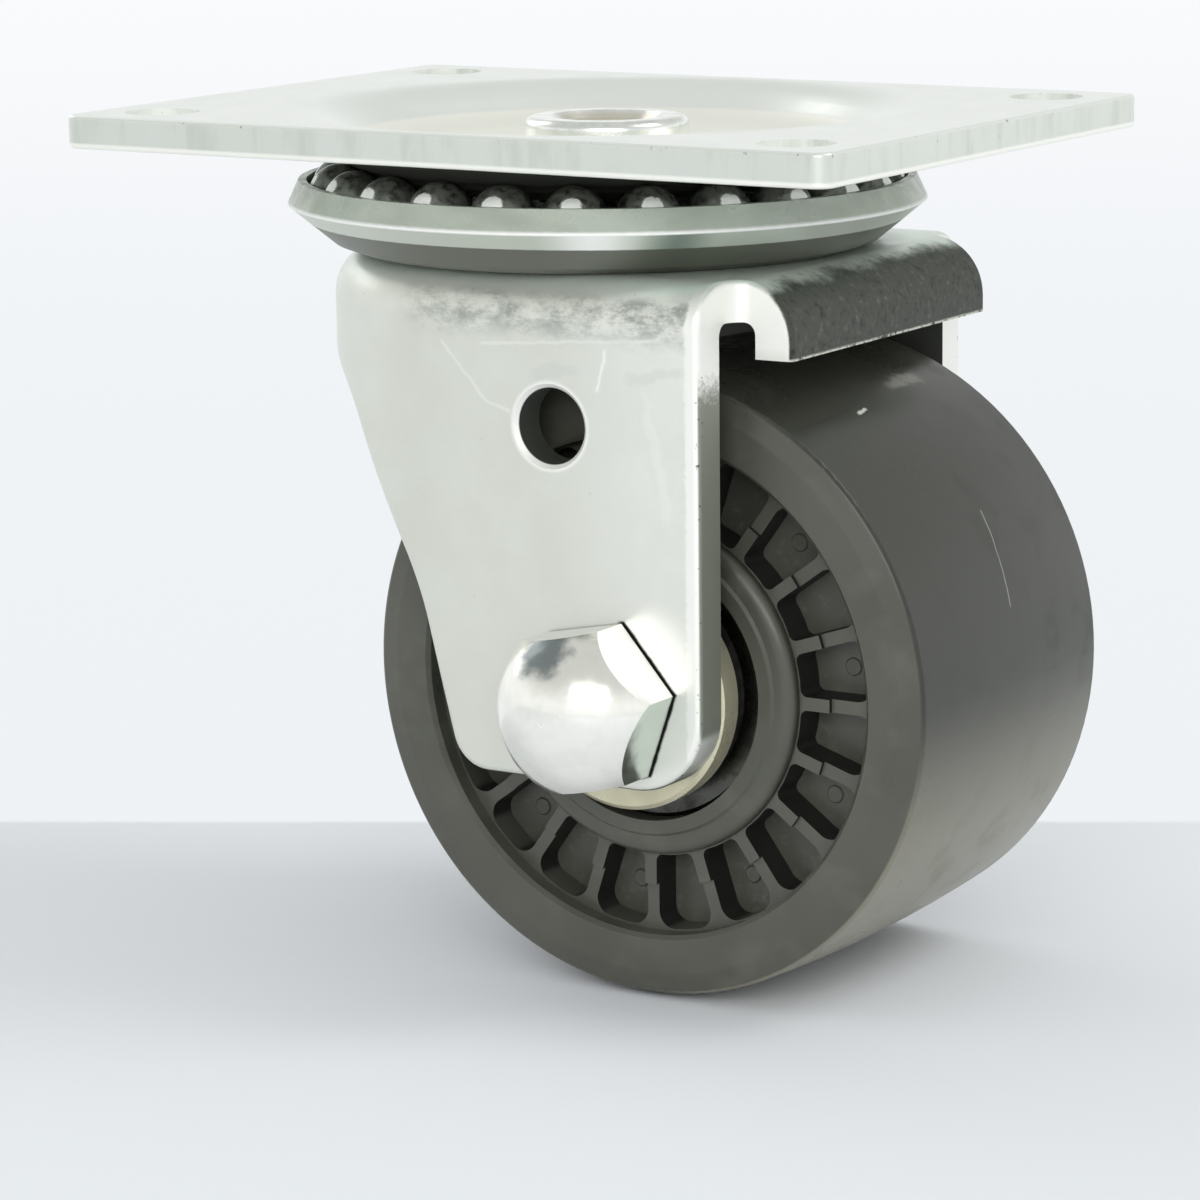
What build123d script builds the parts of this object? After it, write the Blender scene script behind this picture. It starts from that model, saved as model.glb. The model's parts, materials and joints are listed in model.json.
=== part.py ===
from build123d import *
import math
import os

# Plate caster: a low swivel caster with a dished top plate, two ball races,
# a pressed fork and a moulded wheel.
# Millimetres. The origin is on the swivel axis at the plate's top face. Z is up, the wheel trails to +X,
# and the axle lies along Y, with its cap nut on the -Y side.

# Upper ball race, between the dish's flank and the raceway cup
upper_ball_r = 3.97
upper_ball_play = 0.5
upper_circle_r = 32.5
upper_ball_turn = 10.0
flank_groove = 0.24
race_gap = 0.05

# Top plate
plate_length = 104.5
plate_side_land = 0.68
plate_thick = 4.0
plate_corner_r = 2.0
plate_edge_r = 0.45
hole_inset_x = 8.5
hole_inset_y = 8.65
bolt_hole_r = 4.5
dish_over_balls = 3.3
dish_depth = 5.0
dish_flank = 38.0
dish_edge_r = 9.2
dish_floor_r = 9.0

# Kingpin, riveted through the plate and the lower race
head_r = 10.0
head_height = 3.7
head_edge_r = 1.1
head_wall = 3.0
recess_depth = 0.9
shank_r = 6.5
tail_r = 5.5
rivet_spread = 3.0
rivet_height = 1.9
rivet_edge_r = 1.4
pin_fit = 0.03

# Raceway cup, sized from the circle that the upper balls run on
cup_floor = 2.38
cup_lip_wall = 1.0
cup_lip_rise = 1.85
cup_rim_reach = 6.35
cup_rim_drop = 1.0
cup_neck_reach = 0.9
cup_neck_lift = 0.9
cup_foot_inset = 1.5
cup_inner_lip = 1.9
cup_inner_lip_rise = 0.6
cup_groove_angle = 25.0

# Lower ball race
lower_ball_r = 2.38
lower_ball_play = 0.2
lower_circle_r = 13.6
lower_groove = 0.6
lower_race_margin = 4.2
lower_race_thick = 3.5
lower_race_edge = 0.8

# Crown hat, a raised centre that the cup sits around and the lower balls run under
hat_clear = 1.4
hat_height = 5.2
hat_bore_clear = 2.0
hat_edge_r = 2.2
hat_hollow_r = 1.2
hat_fit = 0.05

# Wheel bearings
axle_r = 6.0
axle_fit = 0.02
bearing_r = 16.0
bearing_width = 10.0
bearing_recess = 2.0
bearing_fit = 0.02
bearing_shoulder = 2.6
ring_inner_wall = 3.2
ring_outer_wall = 3.0
bearing_ball_r = 2.97
bearing_ball_play = 3.5
bearing_ball_gap = 0.03
ring_edge = 0.5
cage_wall = 1.6
cage_front = 0.8
cage_back = 3.9
cage_gap = 0.12
shield_thick = 0.5
shield_gap = 0.25
shield_inset = 0.4

# Wheel
wheel_r = 38.0
wheel_width = 46.0
wheel_bevel_reach = 3.4
wheel_bevel_drop = 0.7
wheel_tread_crown = 0.7
wheel_bevel_r = 1.2
wheel_edge_r = 0.7
rim_thick = 8.0
rim_lip = 0.5
hub_wall = 4.4
hub_ridge_wall = 1.6
hub_ridge_drop = 0.35
hub_edge_r = 1.5
pocket_depth = 6.5
pocket_count = 20
pocket_ledge = 0.2
pocket_corner_in = 0.9
pocket_corner_out = 2.0
rib_thick = 1.6
rib_drop_in = 2.0
rib_drop_out = 2.6
rib_step_out = 3.9
rib_turn = 9.0

# Spacer washers and the tube between the bearings
spacer_thick = 4.4
spacer_gap = 0.35
spacer_inset = 2.2
spacer_boss_inset = 0.4
spacer_edge = 0.5
tube_wall = 2.4

# Fork, one pressed sheet, with its legs placed from the axle
sheet = 4.8
bend_r = 5.5
bend_inner_r = 1.5
cut_edge_r = 0.8
front_centre_x = -1.3
axle_x = 18.0
wheel_clear = 6.5
leg_back = 13.6
leg_front_foot_r = 5.0
leg_back_foot_r = 9.0
leg_foot_drop = 10.0
lip_reach = 7.6
lip_inset = 8.2
lip_bend_r = 7.0
lip_drop = 9.0
notch_r = 2.4
side_hole_back = 6.3
side_hole_rise = 32.0
side_hole_r = 4.5
side_hole_bevel = 0.5
axle_hole_fit = 0.1
axle_hole_bevel = 0.4

# Outline of the fork seen from the side: the skirt's lower edge, then down the leg's front edge
skirt_front_drop = 9.6
skirt_turn_front = 12.5
skirt_turn_drop = 15.7
leg_front_reach = 25.4
leg_front_rise = 11.6
leg_foot_reach = 19.6
skirt_round = 16.0
leg_round = 34.0

# Axle bolt and cap nut
hex_flats = 18.0
bolt_head_height = 7.5
hex_bevel = 0.5
nut_turn = 11.0
nut_corner_height = 5.6
nut_height = 12.6
nut_base_bevel = 0.4
bolt_tip = 8.5
bolt_tip_bevel = 1.2
nut_bore_spare = 0.8
nut_fit = 0.03

# Radii and counts of the swivel head
dish_r = upper_circle_r + dish_over_balls
dish_round_reach = dish_edge_r * math.tan(math.radians(dish_flank / 2))
plate_width = 2 * (dish_r + dish_round_reach + plate_side_land)
upper_ball_count = int(2 * math.pi * upper_circle_r / (2 * upper_ball_r + upper_ball_play))
lower_ball_count = int(2 * math.pi * lower_circle_r / (2 * lower_ball_r + lower_ball_play))
lower_race_r = lower_circle_r + lower_race_margin
hat_inner_r = lower_race_r + hat_clear
hat_r = hat_inner_r + sheet
hat_bore_r = shank_r + hat_bore_clear

# Heights down the swivel axis, each from the piece above it
flank_run = dish_depth / math.tan(math.radians(dish_flank))
corner_shift = plate_thick * math.tan(math.radians(dish_flank / 2))
under_r = dish_r - corner_shift
flank_z = -plate_thick - (under_r - upper_circle_r) * math.tan(math.radians(dish_flank))
flank_reach = upper_ball_r + race_gap - flank_groove
upper_ball_z = flank_z - flank_reach / math.cos(math.radians(dish_flank))
upper_groove_r = upper_ball_r + race_gap
crown_top = upper_ball_z - upper_groove_r - cup_floor
crown_under = crown_top - sheet
hat_top = crown_top + hat_height
hat_under = hat_top - sheet
lower_groove_r = lower_ball_r + race_gap
lower_ball_z = hat_under - lower_groove_r + lower_groove
lower_race_top = lower_ball_z - lower_groove_r + lower_groove
lower_race_under = lower_race_top - lower_race_thick
axle_z = crown_under - wheel_clear - wheel_r

# Places along the axle, from the wheel's middle outwards
half_wheel = wheel_width / 2
half_gap = half_wheel + spacer_thick
half_out = half_gap + sheet
bearing_out_y = half_wheel - bearing_recess
bearing_in_y = bearing_out_y - bearing_width
bearing_mid_y = (bearing_out_y + bearing_in_y) / 2
inner_ring_r = axle_r + ring_inner_wall
outer_bore_r = bearing_r - ring_outer_wall
ball_circle_r = (inner_ring_r + outer_bore_r) / 2
bearing_ball_count = int(2 * math.pi * ball_circle_r / (2 * bearing_ball_r + bearing_ball_play))
hub_r = bearing_r + hub_wall
rim_inner_r = wheel_r - rim_thick

# Edges of the fork
leg_back_x = axle_x + leg_back
lip_x = leg_back_x + lip_reach
lip_half = half_out - lip_inset
leg_foot_z = axle_z - leg_foot_drop
lip_foot_z = crown_top - lip_drop

axle_axis = Axis((axle_x, 0, axle_z), (0, 1, 0))
axle_plane = Plane(origin=(axle_x, 0, axle_z), x_dir=(1, 0, 0), z_dir=(0, 0, 1))
side_plane = Plane(origin=(axle_x, 0, axle_z), x_dir=(1, 0, 0), z_dir=(0, -1, 0))


def same(first, second):
    """Whether two sizes agree within a hundredth of a millimetre."""
    return math.isclose(first, second, abs_tol=0.01)


def axle_station(distance, side):
    """Plane across the axle at a distance from the wheel's middle, facing outwards on that side."""
    return Plane(origin=(axle_x, side * distance, axle_z), x_dir=(1, 0, 0), z_dir=(0, side, 0))


def dish_line(corner_r, top_z, corner_round, floor_round):
    """Outline of the pressed dish from the flat of the plate to the swivel axis."""
    outer = (corner_r + corner_round / 2, top_z)
    corner = (corner_r, top_z)
    root = (corner_r - flank_run, top_z - dish_depth)
    centre = (0, top_z - dish_depth)
    return FilletPolyline(outer, corner, root, centre, radius=[corner_round, floor_round])


# One pocket between two ribs: a sector with rounded corners, drawn around the wheel's axis
with BuildSketch() as pocket:
    with BuildLine():
        half_turn = math.pi / pocket_count
        floor_in_r = hub_r + pocket_ledge
        floor_out_r = rim_inner_r - pocket_ledge
        pocket_in = (floor_in_r * math.cos(half_turn), floor_in_r * math.sin(half_turn) - rib_thick / 2)
        pocket_out = (floor_out_r * math.cos(half_turn), floor_out_r * math.sin(half_turn) - rib_thick / 2)
        ThreePointArc((pocket_in[0], -pocket_in[1]), (floor_in_r, 0), pocket_in)
        Line(pocket_in, pocket_out)
        ThreePointArc(pocket_out, (floor_out_r, 0), (pocket_out[0], -pocket_out[1]))
        Line((pocket_out[0], -pocket_out[1]), (pocket_in[0], -pocket_in[1]))
    make_face()
    fillet(pocket.vertices().group_by(Axis.X)[0], pocket_corner_in)
    fillet(pocket.vertices().group_by(Axis.X)[-1], pocket_corner_out)

# Top plate: a sheared plate with a pressed dish, whose flank under the plate is the upper ball race
with BuildPart() as top_plate:
    with BuildSketch(Plane.XY.offset(-plate_thick)) as plate_blank:
        Rectangle(plate_length, plate_width)
        fillet(plate_blank.vertices(), plate_corner_r)
    extrude(amount=plate_thick)
    rim_edges = top_plate.edges().filter_by(Plane.XY)
    fillet(rim_edges, plate_edge_r)
    with BuildSketch(Plane.XZ) as dish_bulge:
        with BuildLine():
            under_round = dish_edge_r - plate_thick
            under = dish_line(under_r, -plate_thick, under_round, dish_floor_r + plate_thick)
            Polyline(under @ 0, under @ 0 + (0, plate_thick / 2), (0, -plate_thick / 2), under @ 1)
        make_face()
    revolve(axis=Axis.Z)
    with BuildSketch(Plane.XZ) as dish_bowl:
        with BuildLine():
            bowl = dish_line(dish_r, 0, dish_edge_r, dish_floor_r)
            Polyline(bowl @ 0, bowl @ 0 + (0, plate_thick), (0, plate_thick), bowl @ 1)
        make_face()
    revolve(axis=Axis.Z, mode=Mode.SUBTRACT)
    with BuildSketch(Plane.XZ) as flank_groove_cut:
        with Locations((upper_circle_r, upper_ball_z)):
            Circle(upper_groove_r)
    revolve(axis=Axis.Z, mode=Mode.SUBTRACT)
    with Locations(Plane.XY):
        with GridLocations(plate_length - 2 * hole_inset_x, plate_width - 2 * hole_inset_y, 2, 2):
            Hole(bolt_hole_r)
        Hole(shank_r + pin_fit)

# Kingpin: a recessed round head in the dish, a shank, and a tail riveted over under the lower race
with BuildPart() as kingpin:
    with BuildSketch(Plane.XZ) as pin_half:
        head_top = -dish_depth + head_height
        recess_z = head_top - recess_depth
        rivet_r = tail_r + rivet_spread
        rivet_z = lower_race_under - rivet_height
        with BuildLine():
            Polyline(
                (0, recess_z),
                (head_r - head_wall - recess_depth, recess_z),
                (head_r - head_wall, head_top),
                (head_r, head_top),
                (head_r, -dish_depth),
                (shank_r, -dish_depth),
                (shank_r, lower_race_top),
                (tail_r, lower_race_top),
                (tail_r, lower_race_under),
                (rivet_r, lower_race_under),
                (rivet_r, rivet_z),
                (0, rivet_z),
                close=True,
            )
        make_face()
        fillet(pin_half.vertices().sort_by_distance((head_r, head_top, 0))[0], head_edge_r)
        fillet(pin_half.vertices().sort_by_distance((rivet_r, rivet_z, 0))[0], rivet_edge_r)
    revolve(axis=Axis.Z)

# Upper balls: a full ring of large balls
with BuildPart(Plane.XY.offset(upper_ball_z)) as upper_balls:
    with PolarLocations(upper_circle_r, upper_ball_count, start_angle=upper_ball_turn):
        Sphere(upper_ball_r)

# Raceway cup: a turned ring with a bevelled lip, a conical underside and the groove for the upper balls
with BuildPart() as raceway_cup:
    lip_top = upper_ball_z + cup_lip_rise
    lip_inner_r = upper_circle_r + upper_groove_r
    cup_bore_r = hat_r + hat_fit
    groove_inner_r = upper_circle_r - upper_groove_r * math.cos(math.radians(cup_groove_angle))
    groove_inner_z = upper_ball_z - upper_groove_r * math.sin(math.radians(cup_groove_angle))
    with BuildSketch(Plane.XZ) as cup_half:
        with BuildLine():
            Polyline(
                (lip_inner_r, upper_ball_z),
                (lip_inner_r, lip_top),
                (lip_inner_r + cup_lip_wall, lip_top),
                (upper_circle_r + cup_rim_reach, upper_ball_z - cup_rim_drop),
                (upper_circle_r + cup_neck_reach, crown_top + cup_neck_lift),
                (upper_circle_r - cup_foot_inset, crown_top),
                (cup_bore_r, crown_top),
                (cup_bore_r, groove_inner_z),
                (cup_bore_r + cup_inner_lip, groove_inner_z + cup_inner_lip_rise),
                (groove_inner_r, groove_inner_z),
            )
            ThreePointArc(
                (groove_inner_r, groove_inner_z),
                (upper_circle_r, upper_ball_z - upper_groove_r),
                (lip_inner_r, upper_ball_z),
            )
        make_face()
    revolve(axis=Axis.Z)

# Lower race: a grooved washer on the kingpin's tail
with BuildPart() as lower_race:
    with BuildSketch(Plane.XZ) as race_half:
        race_wall = lower_race_r - tail_r - pin_fit
        with Locations((lower_race_r - race_wall / 2, lower_race_top - lower_race_thick / 2)):
            Rectangle(race_wall, lower_race_thick)
        chamfer(race_half.vertices().group_by(Axis.X)[-1], lower_race_edge)
        with Locations((lower_circle_r, lower_ball_z)):
            Circle(lower_groove_r, mode=Mode.SUBTRACT)
    revolve(axis=Axis.Z)

# Lower balls: a full ring of small balls under the crown's hat
with BuildPart(Plane.XY.offset(lower_ball_z)) as lower_balls:
    with PolarLocations(lower_circle_r, lower_ball_count):
        Sphere(lower_ball_r)

# Fork: one drawn and bent sheet with a round front, two flat legs, a turned-down rear lip and a raised crown
with BuildPart() as fork:
    with BuildSketch(Plane.XY.offset(leg_foot_z)) as outer_plan:
        with BuildLine():
            ThreePointArc(
                (front_centre_x, half_out), (front_centre_x - half_out, 0), (front_centre_x, -half_out)
            )
            Polyline(
                (front_centre_x, -half_out),
                (leg_back_x, -half_out),
                (leg_back_x, -lip_half),
                (lip_x, -lip_half),
                (lip_x, lip_half),
                (leg_back_x, lip_half),
                (leg_back_x, half_out),
                (front_centre_x, half_out),
            )
        make_face()
        notch_corners = outer_plan.vertices().filter_by(
            lambda corner: same(corner.X, leg_back_x) and same(abs(corner.Y), lip_half)
        )
        fillet(notch_corners, notch_r)
    extrude(amount=crown_top - leg_foot_z)
    crown_rim = fork.edges().group_by(Axis.Z)[-1].filter_by(
        lambda edge: edge.center().X < leg_back_x and edge.length > half_gap
    )
    fillet(crown_rim, bend_r)
    with BuildSketch(Plane.XZ) as side_outline:
        with BuildLine():
            front_x = front_centre_x - half_out
            lower_edge = FilletPolyline(
                (front_x, crown_top - skirt_front_drop),
                (front_x + skirt_turn_front, crown_top - skirt_turn_drop),
                (axle_x - leg_front_reach, axle_z + leg_front_rise),
                (axle_x - leg_foot_reach, leg_foot_z),
                (leg_back_x, leg_foot_z),
                (leg_back_x, lip_foot_z),
                radius=[skirt_round, leg_round, leg_front_foot_r, leg_back_foot_r],
            )
            upper_edge = FilletPolyline(
                (lip_x, lip_foot_z), (lip_x, crown_top), (front_x, crown_top), radius=lip_bend_r
            )
            Line(lower_edge @ 1, upper_edge @ 0)
            Line(upper_edge @ 1, lower_edge @ 0)
        make_face()
    extrude(amount=half_out, both=True, mode=Mode.INTERSECT)
    with BuildSketch(Plane.XY.offset(leg_foot_z)) as inner_plan:
        with BuildLine():
            ThreePointArc(
                (front_centre_x, half_gap), (front_centre_x - half_gap, 0), (front_centre_x, -half_gap)
            )
            Polyline(
                (front_centre_x, -half_gap),
                (lip_x - sheet, -half_gap),
                (lip_x - sheet, half_gap),
                (front_centre_x, half_gap),
            )
        make_face()
    extrude(amount=crown_under - leg_foot_z, mode=Mode.SUBTRACT)
    inside_bend = fork.edges().filter_by(
        lambda edge: same(edge.center().Z, crown_under) and edge.length > bend_r
    )
    fillet(inside_bend, bend_inner_r)
    with BuildSketch(Plane.XZ) as hat_half:
        with BuildLine():
            FilletPolyline((0, hat_top), (hat_r, hat_top), (hat_r, crown_top), radius=hat_edge_r)
            Polyline((hat_r, crown_top), (hat_r, crown_under), (0, crown_under), (0, hat_top))
        make_face()
    revolve(axis=Axis.Z)
    with BuildSketch(Plane.XZ) as hat_hollow:
        with BuildLine():
            FilletPolyline(
                (0, hat_under), (hat_inner_r, hat_under), (hat_inner_r, crown_under), radius=hat_hollow_r
            )
            Polyline((hat_inner_r, crown_under), (hat_inner_r, leg_foot_z), (0, leg_foot_z), (0, hat_under))
        make_face()
        with Locations((lower_circle_r, lower_ball_z)):
            Circle(lower_groove_r)
    revolve(axis=Axis.Z, mode=Mode.SUBTRACT)
    with Locations(Plane.XY.offset(hat_top)):
        Hole(hat_bore_r)
    with BuildSketch(side_plane) as leg_holes:
        Circle(axle_r + axle_hole_fit)
        with Locations((-side_hole_back, side_hole_rise)):
            Circle(side_hole_r)
    extrude(amount=half_out, both=True, mode=Mode.SUBTRACT)
    outer_edges = fork.edges().filter_by(lambda edge: same(abs(edge.center().Y), half_out))
    outer_rings = outer_edges.filter_by(GeomType.CIRCLE)
    chamfer(outer_rings.filter_by(lambda ring: same(ring.radius, side_hole_r)), side_hole_bevel)
    chamfer(outer_rings.filter_by(lambda ring: same(ring.radius, axle_r + axle_hole_fit)), axle_hole_bevel)
    foot_edges = outer_edges.filter_by(Axis.X).group_by(Axis.Z)[0]
    fillet(foot_edges, cut_edge_r)

# Wheel: one moulding with a bevelled tread, ribbed pockets on both sides and two bearing seats
with BuildPart() as wheel:
    ridge_y = half_wheel - hub_ridge_drop
    rib_step_r = hub_r + rib_step_out
    with BuildSketch(axle_plane) as wheel_half:
        with BuildLine():
            tread_middle = (wheel_r, 0)
            tread_edge = (wheel_r - wheel_tread_crown, half_wheel - wheel_bevel_drop)
            bevel_start = (wheel_r - wheel_bevel_reach, half_wheel)
            TangentArc(tread_middle, tread_edge, tangent=(0, 1))
            Polyline(
                tread_middle,
                (bearing_r - bearing_shoulder, 0),
                (bearing_r - bearing_shoulder, bearing_in_y),
                (bearing_r, bearing_in_y),
                (bearing_r, half_wheel),
                (bearing_r + hub_ridge_wall, half_wheel),
                (bearing_r + hub_ridge_wall + hub_ridge_drop, ridge_y),
                (hub_r, ridge_y),
                (hub_r, half_wheel - rib_drop_in),
                (rib_step_r, half_wheel - rib_drop_in),
                (rib_step_r, half_wheel - rib_drop_out),
                (rim_inner_r, half_wheel - rib_drop_out),
                (rim_inner_r, half_wheel - rim_lip),
                (rim_inner_r + rim_lip, half_wheel),
                bevel_start,
                tread_edge,
            )
        make_face()
        hub_edge = wheel_half.vertices().sort_by_distance((hub_r, ridge_y, 0))[0]
        fillet(hub_edge, hub_edge_r)
        fillet(wheel_half.vertices().sort_by_distance((*bevel_start, 0))[0], wheel_bevel_r)
        fillet(wheel_half.vertices().sort_by_distance((*tread_edge, 0))[0], wheel_edge_r)
        mirror(about=Plane.XZ)
    revolve(axis=axle_axis)
    for side in (-1, 1):
        with BuildSketch(axle_station(half_wheel - pocket_depth, side)):
            with PolarLocations(0, pocket_count, start_angle=rib_turn * -side):
                add(pocket.sketch)
        extrude(amount=pocket_depth, mode=Mode.SUBTRACT)

# Bearings: two sealed ball bearings, each pressed into one side of the wheel
bearing_pieces = {}
for side_name, side in (("near", -1), ("far", 1)):
    mid_y = side * bearing_mid_y
    with BuildPart() as bearing_outer:
        with BuildSketch(axle_plane) as outer_half:
            with Locations(((outer_bore_r + bearing_r - bearing_fit) / 2, mid_y)):
                Rectangle(ring_outer_wall - bearing_fit, bearing_width)
            chamfer(outer_half.vertices().group_by(Axis.X)[-1], ring_edge)
            with Locations((ball_circle_r, mid_y)):
                Circle(bearing_ball_r + bearing_ball_gap, mode=Mode.SUBTRACT)
        revolve(axis=axle_axis)
    with BuildPart() as bearing_inner:
        with BuildSketch(axle_plane) as inner_half:
            with Locations((axle_r + axle_fit + (ring_inner_wall - axle_fit) / 2, mid_y)):
                Rectangle(ring_inner_wall - axle_fit, bearing_width)
            chamfer(inner_half.vertices().group_by(Axis.X)[0], ring_edge)
            with Locations((ball_circle_r, mid_y)):
                Circle(bearing_ball_r + bearing_ball_gap, mode=Mode.SUBTRACT)
        revolve(axis=axle_axis)
    with BuildPart(axle_station(bearing_mid_y, side)) as bearing_balls:
        with PolarLocations(ball_circle_r, bearing_ball_count):
            Sphere(bearing_ball_r)
    with BuildPart(axle_station(bearing_mid_y, side)) as bearing_cage:
        with BuildSketch(axle_station(bearing_mid_y - cage_front, side)):
            Circle(ball_circle_r + cage_wall / 2)
            Circle(ball_circle_r - cage_wall / 2, mode=Mode.SUBTRACT)
        extrude(amount=cage_front + cage_back)
        with PolarLocations(ball_circle_r, bearing_ball_count):
            Sphere(bearing_ball_r + cage_gap, mode=Mode.SUBTRACT)
    with BuildPart() as bearing_shields:
        with BuildSketch(axle_plane):
            shield_in = inner_ring_r + shield_gap
            shield_out = outer_bore_r - bearing_fit
            shield_shift = bearing_width / 2 - shield_inset - shield_thick / 2
            with Locations(
                ((shield_in + shield_out) / 2, mid_y - shield_shift),
                ((shield_in + shield_out) / 2, mid_y + shield_shift),
            ):
                Rectangle(shield_out - shield_in, shield_thick)
        revolve(axis=axle_axis)
    with BuildPart() as spacer:
        spacer_r = bearing_r - spacer_inset
        spacer_boss_r = inner_ring_r - spacer_boss_inset
        with BuildSketch(axle_plane) as spacer_half:
            with BuildLine():
                Polyline(
                    (axle_r + axle_fit, side * bearing_out_y),
                    (spacer_boss_r, side * bearing_out_y),
                    (spacer_boss_r, side * (half_wheel + spacer_gap)),
                    (spacer_r, side * (half_wheel + spacer_gap)),
                    (spacer_r, side * half_gap),
                    (axle_r + axle_fit, side * half_gap),
                    close=True,
                )
            make_face()
            chamfer(spacer_half.vertices().group_by(Axis.X)[-1], spacer_edge)
        revolve(axis=axle_axis)
    bearing_pieces[f"bearing_outer_{side_name}"] = bearing_outer
    bearing_pieces[f"bearing_inner_{side_name}"] = bearing_inner
    bearing_pieces[f"bearing_balls_{side_name}"] = bearing_balls
    bearing_pieces[f"bearing_cage_{side_name}"] = bearing_cage
    bearing_pieces[f"bearing_shields_{side_name}"] = bearing_shields
    bearing_pieces[f"spacer_{side_name}"] = spacer

# Spacer tube: keeps the two inner rings apart on the axle
with BuildPart() as spacer_tube:
    with BuildSketch(axle_station(bearing_in_y, -1)):
        Circle(axle_r + axle_fit + tube_wall)
        Circle(axle_r + axle_fit, mode=Mode.SUBTRACT)
    extrude(amount=-2 * bearing_in_y)

# Axle bolt: a plain hex head on the far leg and a shank through both legs, its tip inside the cap nut
with BuildPart() as axle_bolt:
    with BuildSketch(axle_station(half_out, 1)):
        RegularPolygon(hex_flats / 2, 6, major_radius=False, rotation=nut_turn)
    extrude(amount=bolt_head_height)
    with BuildSketch(axle_plane) as head_turning:
        with BuildLine():
            head_end = half_out + bolt_head_height
            corner_r = hex_flats / 2 / math.cos(math.pi / 6)
            Polyline(
                (0, half_out),
                (corner_r, half_out),
                (corner_r, head_end - (corner_r - hex_flats / 2 + hex_bevel) * math.tan(math.pi / 6)),
                (hex_flats / 2 - hex_bevel, head_end),
                (0, head_end),
                close=True,
            )
        make_face()
    revolve(axis=axle_axis, mode=Mode.INTERSECT)
    with BuildSketch(axle_station(half_out, 1)):
        Circle(axle_r)
    extrude(amount=-(2 * half_out + bolt_tip))
    tip_edge = axle_bolt.edges().group_by(Axis.Y)[0]
    chamfer(tip_edge, bolt_tip_bevel)

# Cap nut: a low domed nut on the near leg, its hexagon rounded over by the dome
with BuildPart() as cap_nut:
    dome_rise = nut_height - nut_corner_height
    dome_r = (dome_rise**2 + corner_r**2) / (2 * dome_rise)
    with BuildSketch(axle_station(half_out, -1)):
        RegularPolygon(hex_flats / 2, 6, major_radius=False, rotation=nut_turn)
    extrude(amount=nut_height)
    with Locations(axle_station(half_out + nut_height - dome_r, -1)):
        Sphere(dome_r, mode=Mode.INTERSECT)
    base_edges = cap_nut.edges().group_by(Axis.Y)[-1]
    chamfer(base_edges, nut_base_bevel)
    with BuildSketch(axle_station(half_out, -1)):
        Circle(axle_r + nut_fit)
    extrude(amount=bolt_tip + nut_bore_spare, mode=Mode.SUBTRACT)

pieces = {
    "top_plate": top_plate,
    "kingpin": kingpin,
    "upper_balls": upper_balls,
    "raceway_cup": raceway_cup,
    "lower_race": lower_race,
    "lower_balls": lower_balls,
    "fork": fork,
    "wheel": wheel,
    "spacer_tube": spacer_tube,
    "axle_bolt": axle_bolt,
    "cap_nut": cap_nut,
}
pieces.update(bearing_pieces)
os.makedirs("parts", exist_ok=True)
for name, piece in pieces.items():
    piece.part.label = name
    export_step(piece.part, f"parts/{name}.step")
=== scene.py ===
"""Looks of a low swivel plate caster: finishes, marks, floor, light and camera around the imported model."""

import json
import logging
import math
from dataclasses import dataclass, replace
from functools import reduce
from typing import Any, Mapping, Optional, Sequence, Union

import bmesh
import bpy
from mathutils import Matrix, Vector


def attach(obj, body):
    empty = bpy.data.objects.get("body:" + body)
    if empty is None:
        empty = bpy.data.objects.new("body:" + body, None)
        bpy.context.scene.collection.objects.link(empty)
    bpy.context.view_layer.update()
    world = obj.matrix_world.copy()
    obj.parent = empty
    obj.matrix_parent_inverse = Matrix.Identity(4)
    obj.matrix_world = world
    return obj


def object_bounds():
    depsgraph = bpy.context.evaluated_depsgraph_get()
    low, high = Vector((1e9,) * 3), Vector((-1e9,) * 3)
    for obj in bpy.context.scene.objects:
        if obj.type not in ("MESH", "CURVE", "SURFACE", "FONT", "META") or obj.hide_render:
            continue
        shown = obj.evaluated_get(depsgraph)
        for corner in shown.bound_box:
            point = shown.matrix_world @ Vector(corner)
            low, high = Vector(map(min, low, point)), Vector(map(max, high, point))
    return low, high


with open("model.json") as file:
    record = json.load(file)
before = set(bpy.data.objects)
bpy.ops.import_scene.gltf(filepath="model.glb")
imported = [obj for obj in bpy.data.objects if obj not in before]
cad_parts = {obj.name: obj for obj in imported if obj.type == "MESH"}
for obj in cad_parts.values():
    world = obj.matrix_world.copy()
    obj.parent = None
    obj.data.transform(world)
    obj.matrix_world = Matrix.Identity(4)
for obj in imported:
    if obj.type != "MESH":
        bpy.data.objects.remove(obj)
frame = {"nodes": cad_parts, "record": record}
cad_box = [list(corner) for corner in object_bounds()]

MM = 0.001
log = logging.getLogger("caster")

Colour = tuple[float, float, float]
# The value where a mask is 0 and the value where it is 1.
Ramp = tuple[float, float]
Spot = tuple["Wire", "Wire", "Wire"]
Value = Union["Wire", float, int, Sequence[float]]


def joint_place(name: str) -> Vector:
    """Where a joint of the record lies.

    Args:
        name: the joint's name.

    Returns:
        A point in millimetres.
    """
    for joint in frame["record"]["behaviour"]["joints"]:
        if joint["name"] == name:
            return Vector(joint["pos_m"]) / MM
    raise KeyError(name)


AXLE = joint_place("wheel_spin")


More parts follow.
